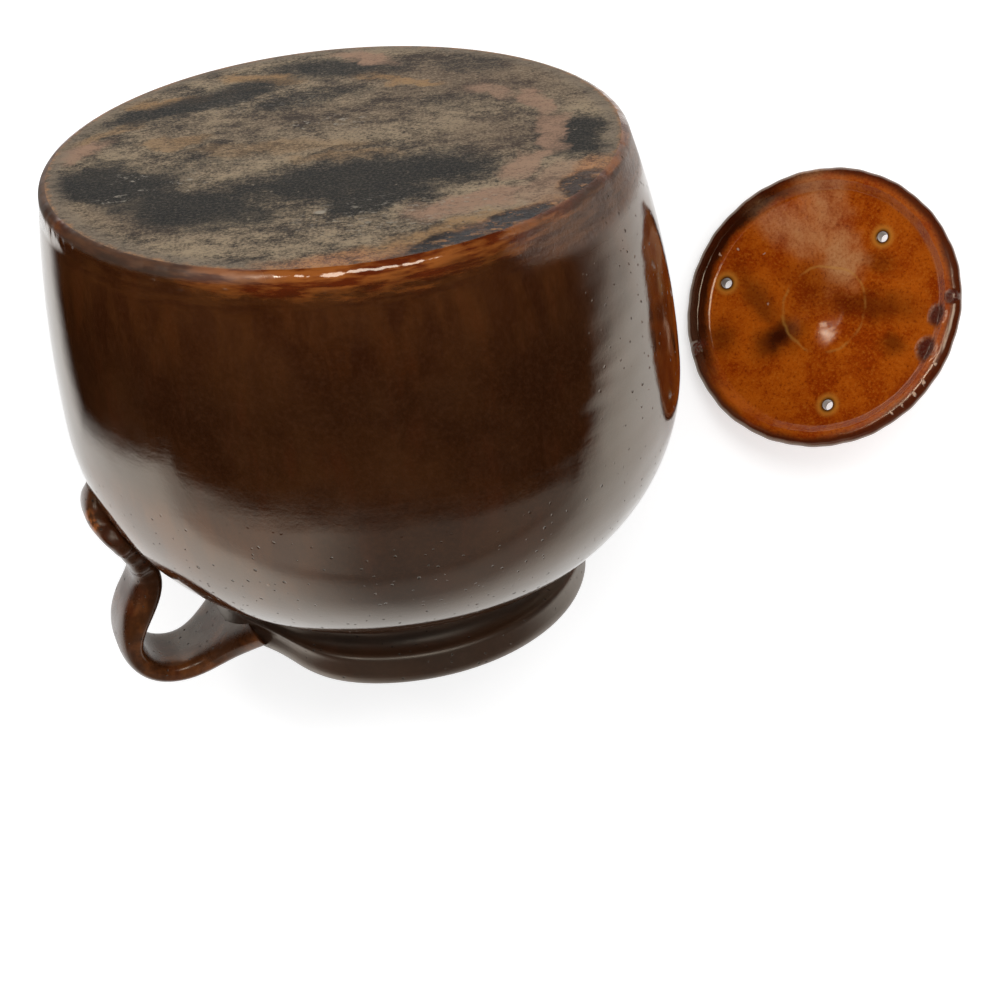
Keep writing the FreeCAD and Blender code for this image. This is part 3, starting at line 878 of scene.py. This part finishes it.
GLAZE_RUN = ((6, 80, 26, 9, -6, 1.0), (44, 66, 24, 9, -38, 1.0), (71, 38, 10, 14, 25, 0.9))
PEBBLE = ((-2.6, 45.5, 1.5, 1.1, 0, 1.0),)
print(len(SOOT + PINK + OCHRE + CRUST + BROWN + BURNT + GLAZE_RUN + PEBBLE), "marks on the base")

# %% [markdown]
# The paint goes on in the order in which it came: first the clay with its brown and ochre, then soot, its
# dots and the ash. What rubbed through is pink, and the glaze that ran over the edge lies on top of it all.


# %% Clay and soot
def clay_colour(tree, wavy, ragged, grain, tone, chance):
    """Clay from dark to pale by tone, browner and more ochre in their patches."""
    clay = blend(tree, span(tree, tone, 0.93, 1.24), (0.045, 0.034, 0.026, 1), (0.44, 0.33, 0.21, 1))
    brown = times(tree, patches(tree, wavy, BROWN, soft=0.8), span(tree, grain, 0.35, 0.65, 0.9, 0.4))
    clay = blend(tree, brown, clay, (0.11, 0.064, 0.042, 1))
    ochre = times(tree, patches(tree, ragged, OCHRE), sums(tree, "MULTIPLY_ADD", chance, 0.6, 0.4))
    return blend(tree, ochre, clay, (0.42, 0.245, 0.11, 1))


def sooted(tree, colour, place, wavy, grain, coarse):
    """The colour under soot, which is thicker where the clay is low, with dark dots and pale ash on it."""
    soot = times(tree, patches(tree, wavy, SOOT, soft=0.6), 0.9)
    soot = span(tree, total_of(tree, soot, times(tree, coarse, -0.5), times(tree, grain, -0.4)), -0.28, 0.4)
    dusty = blend(tree, span(tree, grain, 0.45, 0.7), (0.02, 0.019, 0.017, 1), (0.1, 0.086, 0.066, 1))
    colour = blend(tree, times(tree, soot, 0.95), colour, dusty)
    dots = specks(tree, bent(tree, place, 1.5, 0.4), 2.4, 0.55, 0.5)
    colour = blend(tree, times(tree, dots, 0.7), colour, (0.035, 0.026, 0.02, 1))
    ash = specks(tree, bent(tree, vectors(tree, "ADD", place, (9, 4, 2)), 1.2, 0.5), 4.2, 0.55, 0.4)
    return blend(tree, times(tree, ash, 0.6), colour, (0.42, 0.34, 0.24, 1))


# %% Sooty base
def bare_clay(name):
    """Matt material of the base: clay and soot, then worn, crusted, glazed and burnt places, each a colour
    laid over the one before by its mask."""
    material, tree, shader = fresh(name)
    shader.inputs["IOR"].default_value = 1.4
    place = clay_place(tree)
    wavy = bent(tree, bent(tree, place, 14, 4.5), 3.0, 1.3)
    ragged = bent(tree, wavy, 0.8, 0.5)
    grain = noise(tree, place, 0.9, detail=6, rough=0.75)
    coarse = noise(tree, place, 3.2, detail=8, rough=0.74, stretch=(1.5, 1, 1), turn=4)
    cloud = noise(tree, place, 17, detail=8, rough=0.7, stretch=(1.5, 1, 1), turn=4)
    tone = total_of(tree, times(tree, grain, 0.75), times(tree, coarse, 0.55), times(tree, cloud, 0.85))
    chance = span(tree, total_of(tree, times(tree, grain, 0.6), times(tree, coarse, 0.6)), 0.48, 0.68)
    colour = clay_colour(tree, wavy, ragged, grain, tone, chance)
    colour = sooted(tree, colour, place, wavy, grain, coarse)
    pink = times(tree, patches(tree, ragged, PINK), sums(tree, "MULTIPLY_ADD", chance, 0.45, 0.55))
    colour = blend(tree, pink, colour, (0.4, 0.24, 0.155, 1))
    edge = sums(tree, "ADD", radius(tree, place), sums(tree, "MULTIPLY_ADD", coarse, 7.0, -3.5))
    worn = times(tree, span(tree, edge, 73.0, 78.5, 0.0, 0.85), sums(tree, "MULTIPLY_ADD", chance, 0.5, 0.5))
    colour = blend(tree, worn, colour, (0.27, 0.21, 0.15, 1))
    flakes = noise(tree, place, 1.8, detail=5, rough=0.7, stretch=(1.8, 1, 1), turn=10)
    crust = times(tree, patches(tree, wavy, CRUST), span(tree, flakes, 0.56, 0.62))
    colour = blend(tree, crust, colour, (0.5, 0.44, 0.35, 1))
    run = times(tree, patches(tree, wavy, GLAZE_RUN), span(tree, edge, 69.0, 74.0),
                span(tree, tone, 0.9, 1.1, 0.5))
    rust = sums(tree, "MAXIMUM", times(tree, span(tree, edge, 78.0, 80.5), 0.8), run)
    colour = blend(tree, rust, colour, blend(tree, chance, (0.16, 0.04, 0.01, 1), (0.5, 0.22, 0.07, 1)))
    burnt = times(tree, patches(tree, ragged, BURNT), span(tree, coarse, 0.6, 0.52))
    colour = blend(tree, burnt, colour, (0.025, 0.016, 0.014, 1))
    pebble = patches(tree, place, PEBBLE)
    colour = blend(tree, pebble, colour, (0.42, 0.36, 0.28, 1))
    height = total_of(tree, times(tree, coarse, 1.4), times(tree, grain, 0.8), times(tree, crust, 0.7),
                      times(tree, pink, -0.7), times(tree, pebble, 0.8), times(tree, burnt, -1.4))
    finish_surface(tree, shader, colour, sums(tree, "MULTIPLY_ADD", rust, -0.35, 0.8), height, 0.45)
    print(name, "has", len(tree.nodes), "nodes")
    return material


pot.data.materials.append(bare_clay("sooty_clay"))

# %% [markdown]
# The pot is one piece with two finishes. Rows of faces near the middle of the base get the bare clay, and
# all others keep the glaze. The border is a ring of the outline, so it needs no picture and no seam.

# %% Glaze line
BARE_R = 79.2
band_count = (len(standing) - 1) * standing.shape[1]
band_rows = np.arange(band_count) // standing.shape[1]
bare_rows = int((np.hypot(standing[:40, 0, 0], standing[:40, 0, 1]) < BARE_R).sum())
slots = np.zeros(len(pot.data.polygons), np.int32)
slots[:band_count] = band_rows < bare_rows
slots[band_count:band_count + standing.shape[1]] = 1
pot.data.polygons.foreach_set("material_index", slots)
print("base is bare over", bare_rows, "rings of the outline")

# %% [markdown]
# The strap was dipped in the same glaze, which broke to amber over its edges and its pressed tail. Hands have
# worn it in blotches. It gets a lower index than the pot, because a worn glaze mirrors less.

# %% Glaze of the handle
STRAP_INDEX = 1.62


def thin_on_strap(tree, place):
    """Amber blotches all over, and bright ones on the tail, where the glaze broke over its uneven edge."""
    z = height_up(tree, place)
    tail = times(tree, span(tree, z, 106.0, 98.0), span(tree, z, 88.0, 94.0))
    bright = times(tree, tail, span(tree, noise(tree, place, 4, detail=4), 0.5, 0.62, 0.0, 0.95))
    blotch = span(tree, noise(tree, place, 9, detail=6, rough=0.65), 0.42, 0.68, 0.05, 0.35)
    return sums(tree, "MAXIMUM", bright, blotch)


def dull_on_strap(tree, place):
    """Worn by hands in blotches all over."""
    return span(tree, noise(tree, place, 10, detail=4), 0.3, 0.7, 0.1, 0.24)


handle.data.materials.append(dark_glaze("strap_glaze", thin_on_strap, dull_on_strap, index=STRAP_INDEX))

# %% [markdown]
# Inside, the lid carries only a thin wash of glaze over a pale clay, which turns it amber. It is darker on
# the rim, where the glaze of pot and lid met, and round the steam holes it drew back to a bright ring.

# %% Marks on the lid
# Each patch: x, y, half length, half width, turn in degrees, strength.
LID_DARK = ((12, -13, 7, 4.5, -50, 1.0), (22, -3, 12, 3.5, 40, 0.55), (-14, 4.5, 15, 4.5, -6, 0.6),
            (-26, -6, 4, 3, 0, 0.6), (-13, 18.5, 6, 3, 0, 0.45), (31, -18, 5, 5, 0, 0.6),
            (3, 8, 10, 8, 0, 0.35))
# Painted reflection: pale patches where the window would be mirrored in the lid's glaze, laid into its
# colour.
LID_PAINTED_REFLECTION = ((9, 30, 15, 6, 60, 0.8), (14, 22, 14, 6, 10, 0.8), (0, 18, 9, 6, 60, 1.0))
LID_MOUND = ((2.4, -5.7, 6, 6, 0, 1.0),)
LID_SCABS = ((-38, 6.7, 3.6, 3.0, 80, 1.0), (-38, -4.7, 4.0, 3.4, 80, 1.0), (-41.3, 12.8, 2, 2, 0, 1.0),
             (37, -25, 5, 2, -55, 0.8))
LID_CHIPS = ((-41.3, -15.2, 0.8, 0.4, 70, 1.0), (-39.5, -19.5, 0.7, 0.5, 60, 1.0),
             (-34.3, -27, 0.8, 0.4, 40, 1.0), (-37, -24, 0.6, 0.4, 40, 1.0), (-43, -9, 0.6, 0.4, 0, 1.0),
             (39, 8.3, 0.35, 0.35, 0, 0.8), (34.4, 11.7, 0.4, 0.35, 0, 0.8), (25.3, 12.5, 0.35, 0.35, 0, 0.7),
             (19, -3, 0.35, 0.35, 0, 0.7))
# A darker band inside the rim, on one side only.
RIM_DARK_SIDE = ((44, 2, 30, 46, 10, 1.0),)
LID_INDEX, LID_TINT = 1.9, (1.0, 0.82, 0.6, 1)
print(len(LID_DARK + LID_PAINTED_REFLECTION + LID_MOUND + LID_SCABS + LID_CHIPS + RIM_DARK_SIDE), "marks on the lid")

# %% [markdown]
# The lid's material is painted as the base's is, coat over coat: the speckled amber, its dark clouds, the
# rings at the steam holes with painted shade in their mouths, a darker band inside the rim on one side, the
# dark rim, then scabs, chips, a pale patch of painted reflection of the window, and the potter's fine ridge.


# %% Amber glaze
def holes_ringed(tree, colour, place):
    """The colour with a bright ring round each steam hole, and painted shade in its mouth and down its walls:
    a dark disc a little wider than the hole.
    """
    for inward, turn in STEAM_HOLES:
        r, turn = LID_RADIUS - inward, math.radians(turn)
        x, y = r * math.cos(turn), r * math.sin(turn)
        ring = patches(tree, place, ((x, y, 3.6, 3.6, 0, 0.8),))
        colour = blend(tree, ring, colour, (0.6, 0.22, 0.025, 1))
        # Painted shade: the hole's mouth and walls darkened, as a hole in shade looks.
        edge = patches(tree, place, ((x, y, 2.4, 2.4, 0, 1.0),))
        colour = blend(tree, edge, colour, (0.03, 0.006, 0.002, 1))
    return colour


def amber_glaze(name):
    """Glossy amber of the lid's inside: coats of colour, each laid over the one before by its mask."""
    material, tree, shader = fresh(name)
    shader.inputs["IOR"].default_value = LID_INDEX
    shader.inputs["Specular Tint"].default_value = LID_TINT
    place = clay_place(tree)
    cloud = noise(tree, place, 14, detail=8, rough=0.66)
    grain = noise(tree, place, 0.9, detail=5, rough=0.75)
    colour = blend(tree, span(tree, cloud, 0.36, 0.62), (0.3, 0.036, 0.001, 1), (0.48, 0.092, 0.003, 1))
    colour = blend(tree, span(tree, grain, 0.5, 0.68, 0, 0.7), colour, (0.5, 0.14, 0.012, 1))
    colour = blend(tree, span(tree, grain, 0.49, 0.34, 0, 0.7), colour, (0.15, 0.018, 0.001, 1))
    dark = patches(tree, bent(tree, place, 6, 1.5), LID_DARK, soft=0.85)
    colour = holes_ringed(tree, blend(tree, dark, colour, (0.042, 0.0055, 0.001, 1)), place)
    r = radius(tree, place)
    side = patches(tree, place, RIM_DARK_SIDE)
    ragged_r = sums(tree, "ADD", r, sums(tree, "MULTIPLY_ADD", cloud, 6.0, -3.0))
    # Darker band just inside the rim, on one side only, with a ragged inner edge.
    dark_side_band = times(tree, span(tree, ragged_r, 38.2, 40.6), side)
    colour = blend(tree, times(tree, dark_side_band, 0.95), colour, (0.02, 0.003, 0.0008, 1))
    rim = span(tree, sums(tree, "ADD", r, sums(tree, "MULTIPLY_ADD", cloud, 5.0, -2.5)), 41.6, 44.4)
    colour = blend(tree, times(tree, rim, 0.92), colour, (0.06, 0.009, 0.0025, 1))
    scabs = patches(tree, bent(tree, place, 2.5, 0.35), LID_SCABS)
    scabs = times(tree, scabs, span(tree, grain, 0.25, 0.5, 0.6, 1.0))
    colour = blend(tree, scabs, colour, (0.085, 0.012, 0.006, 1))
    chips = patches(tree, bent(tree, place, 1.0, 0.4), LID_CHIPS)
    colour = blend(tree, chips, colour, (0.6, 0.38, 0.26, 1))
    # Painted reflection of the window: a pale orange patch in the colour, and the glaze a little rougher
    # there.
    painted_reflection = times(tree, patches(tree, bent(tree, place, 7, 3.0), LID_PAINTED_REFLECTION, soft=0.8),
                 span(tree, cloud, 0.35, 0.6, 0.4, 1.0), span(tree, grain, 0.35, 0.6, 0.5, 1.0))
    colour = blend(tree, times(tree, painted_reflection, 0.95), colour, (0.52, 0.235, 0.09, 1))
    trail = radius(tree, bent(tree, place, 12, 1.2))
    ridge = times(tree, span(tree, trail, 13.4, 14.2), span(tree, trail, 15.0, 14.2),
                  span(tree, noise(tree, place, 9), 0.4, 0.6))
    colour = blend(tree, times(tree, ridge, 0.35), colour, (0.6, 0.28, 0.05, 1))
    mound = patches(tree, place, LID_MOUND, soft=0.95)
    height = total_of(tree, times(tree, cloud, 0.35), times(tree, grain, 0.05), times(tree, scabs, 1.6),
                      times(tree, chips, 0.8), times(tree, ridge, 0.05), times(tree, mound, 3.4))
    dull = total_of(tree, span(tree, cloud, 0.3, 0.7, 0.08, 0.14), times(tree, painted_reflection, 0.06),
                    times(tree, span(tree, r, 40.0, 42.0, 0.0, 0.06), sums(tree, "SUBTRACT", 1.0, side)))
    finish_surface(tree, shader, colour, dull, height, 0.4)
    print(name, "has", len(tree.nodes), "nodes")
    return material


lid.data.materials.append(amber_glaze("amber_glaze"))

# %% [markdown]
# The knob wears the dark glaze of the pot, only a little thinner in clouds, because it was dipped with the
# lid's top. It needs no marks of its own, since it stands in the lid's shade.


# %% Glaze of the knob
def thin_on_knob(tree, place):
    """A few amber clouds."""
    return span(tree, noise(tree, place, 6), 0.6, 0.8, 0.0, 0.3)


def dull_on_knob(tree, place):
    """Worn evenly."""
    return span(tree, noise(tree, place, 5), 0.3, 0.7, 0.02, 0.1)


knob.data.materials.append(dark_glaze("knob_glaze", thin_on_knob, dull_on_knob))

# %% [markdown]
# The pot lies on a sheet of white paper in a dim room, lit softly from all round, by one window and by one
# lamp. Its glossy glaze mirrors the paper as far as it reaches, the front wall above it, and the dark
# ceiling, and the person who stands before it shades the middle of that view. So the low sides shine and the
# top stays dark. The camera sees the paper white everywhere, and the lift keeps it just at white.

# %% Table
PAPER_LEFT, PAPER_RIGHT, PAPER_LIFT = 0.25, 0.40, 0.47


def paper_group():
    """Brightness of the paper at a place: 1 near the pot, 0 beyond its slanted left and right edges, and
    darker in front of the middle, by the angle seen from the pot and the distance."""
    tree, given, out = group("paper", [("Place", "Vector", (0, 0, 0))], [("Share", "Float")])
    parts = put(tree, "SeparateXYZ", {0: given["Place"]}).outputs
    x, near = parts["X"], sums(tree, "MULTIPLY", parts["Y"], -1.0)
    left_end = sums(tree, "MAXIMUM", sums(tree, "MULTIPLY_ADD", near, 1.78, 0.19), PAPER_LEFT)
    left = sums(tree, "ADD", left_end, x)
    right = sums(tree, "SUBTRACT", sums(tree, "MULTIPLY_ADD", near, 1.2, PAPER_RIGHT), x)
    inside = times(tree, span(tree, left, -0.03, 0.03), span(tree, right, -0.36, 0.26))
    turn = sums(tree, "ARCTAN2", x, near)
    shade = times(tree, span(tree, turn, -0.75, -0.1, 0.0, 0.78), span(tree, turn, 0.6, 1.3, 1.0, 0.25),
                  span(tree, near, 0.06, 0.4))
    away = put(tree, "VectorMath", {0: given["Place"]}, operation="LENGTH").outputs["Value"]
    far = span(tree, away, 0.6, 1.6, 1.0, 0.6)
    tree.links.new(times(tree, inside, sums(tree, "SUBTRACT", 1.0, shade), far), out["Share"])
    return tree


bpy.ops.mesh.primitive_plane_add(size=8)
table = bpy.context.object
table.name = "table"
material, tree, shader = fresh("white_paper")
tree.nodes.remove(shader)
share = put(tree, "Group", node_tree=paper_group())
tree.links.new(put(tree, "TexCoord").outputs["Object"], share.inputs["Place"])
seen = put(tree, "LightPath")
bright = sums(tree, "MAXIMUM", seen.outputs["Is Camera Ray"], share.outputs[0])
paper = put(tree, "BsdfDiffuse", {"Color": blend(tree, bright, (0.0, 0.0, 0.0, 1), (0.88, 0.88, 0.88, 1))})
lift = put(tree, "Emission", {"Strength": sums(tree, "MULTIPLY", bright, PAPER_LIFT)})
view_share = sums(tree, "MAXIMUM", seen.outputs["Is Camera Ray"], seen.outputs["Is Glossy Ray"])
glow = put(tree, "MixShader", {0: view_share, 2: lift.outputs[0]})
tree.links.new(put(tree, "AddShader", {0: paper.outputs[0], 1: glow.outputs[0]}).outputs[0],
               tree.nodes["Material Output"].inputs["Surface"])
table.data.materials.append(material)
print("paper has", len(tree.nodes), "nodes and its group", len(share.node_tree.nodes))

# %% [markdown]
# The room is the world's light. Matt surfaces get it evenly from all sides. A glossy surface mirrors a dark
# room instead, with a pale front wall that ends in a low curve and is brighter on the left.

# %% Room
ROOM_LIGHT, WALL_HEIGHT = 0.68, 0.49
world = bpy.data.worlds.new("room")
bpy.context.scene.world = world
world.use_nodes = True
tree = world.node_tree
parts = put(tree, "SeparateXYZ", {0: put(tree, "TexCoord").outputs["Generated"]}).outputs
turn = sums(tree, "ARCTAN2", parts["X"], sums(tree, "MULTIPLY", parts["Y"], -1.0))
wall_top = sums(tree, "MULTIPLY_ADD", times(tree, turn, turn), -WALL_HEIGHT, WALL_HEIGHT)
wall = span(tree, sums(tree, "SUBTRACT", wall_top, parts["Z"]), -0.05, 0.06)
wall_light = total_of(tree, span(tree, turn, -0.5, 0.0, 0.55, 0.16), span(tree, turn, 0.4, 1.0, 0.0, 0.08))
front = times(tree, wall, wall_light)
seen = put(tree, "LightPath")
strength = put(tree, "Mix", {0: seen.outputs["Is Glossy Ray"], 2: ROOM_LIGHT, 3: front}, data_type="FLOAT")
tree.links.new(strength.outputs[0], tree.nodes["Background"].inputs["Strength"])
tree.nodes["Background"].inputs["Color"].default_value = (1.0, 1.0, 1.0, 1)
print("room has", len(tree.nodes), "nodes")

# %% [markdown]
# A small high window and a wider lamp put the highlights on the glaze: a spark on the lid's mound, a thread
# along the base's edge, a glint on the strap. Both are area lights, which a glaze mirrors as soft squares.


# %% Window and lamp
def softbox(name, place, aim, width, height, radiance):
    """Area light at a place, turned to its aim. Its face has that radiance: power is pi times area times
    radiance."""
    light = bpy.data.lights.new(name, "AREA")
    light.shape, light.size, light.size_y = "RECTANGLE", width, height
    light.energy = math.pi * width * height * radiance
    lamp = bpy.data.objects.new(name, light)
    lamp.location = place
    lamp.rotation_mode = "QUATERNION"
    lamp.rotation_quaternion = (Vector(aim) - Vector(place)).to_track_quat("-Z", "Y")
    bpy.context.scene.collection.objects.link(lamp)
    print(name, "gives", round(light.energy, 2), "watts")


AIM = (0, 0, 0.05)
softbox("window", (-0.66, 0.38, 1.32), AIM, 0.22, 0.22, 12.0)
softbox("ceiling_lamp", (0.14, 0.3, 1.2), AIM, 0.7, 0.4, 4.0)

# %% [markdown]
# The camera looks straight down from about 70 cm, turned a few degrees, with a long lens that keeps the
# pot's sides nearly parallel. Its place is measured from the middle of the base.

# %% Camera
CAMERA_OFFSET, CAMERA_HEIGHT, LENS = (0.0373, -0.1016), 0.7298, 79.2
camera = bpy.data.objects.new("camera", bpy.data.cameras.new("camera"))
camera.data.lens, camera.data.sensor_width = LENS, 36
camera.location = (base["pos_m"][0] + CAMERA_OFFSET[0], base["pos_m"][1] + CAMERA_OFFSET[1], CAMERA_HEIGHT)
camera.rotation_euler = (0, 0, -math.atan2(0.0866, 0.9962))
bpy.context.scene.collection.objects.link(camera)
bpy.context.scene.camera = camera
bpy.context.scene.view_settings.view_transform = "Standard"
print("camera turned", round(math.degrees(camera.rotation_euler.z), 2), "degrees")
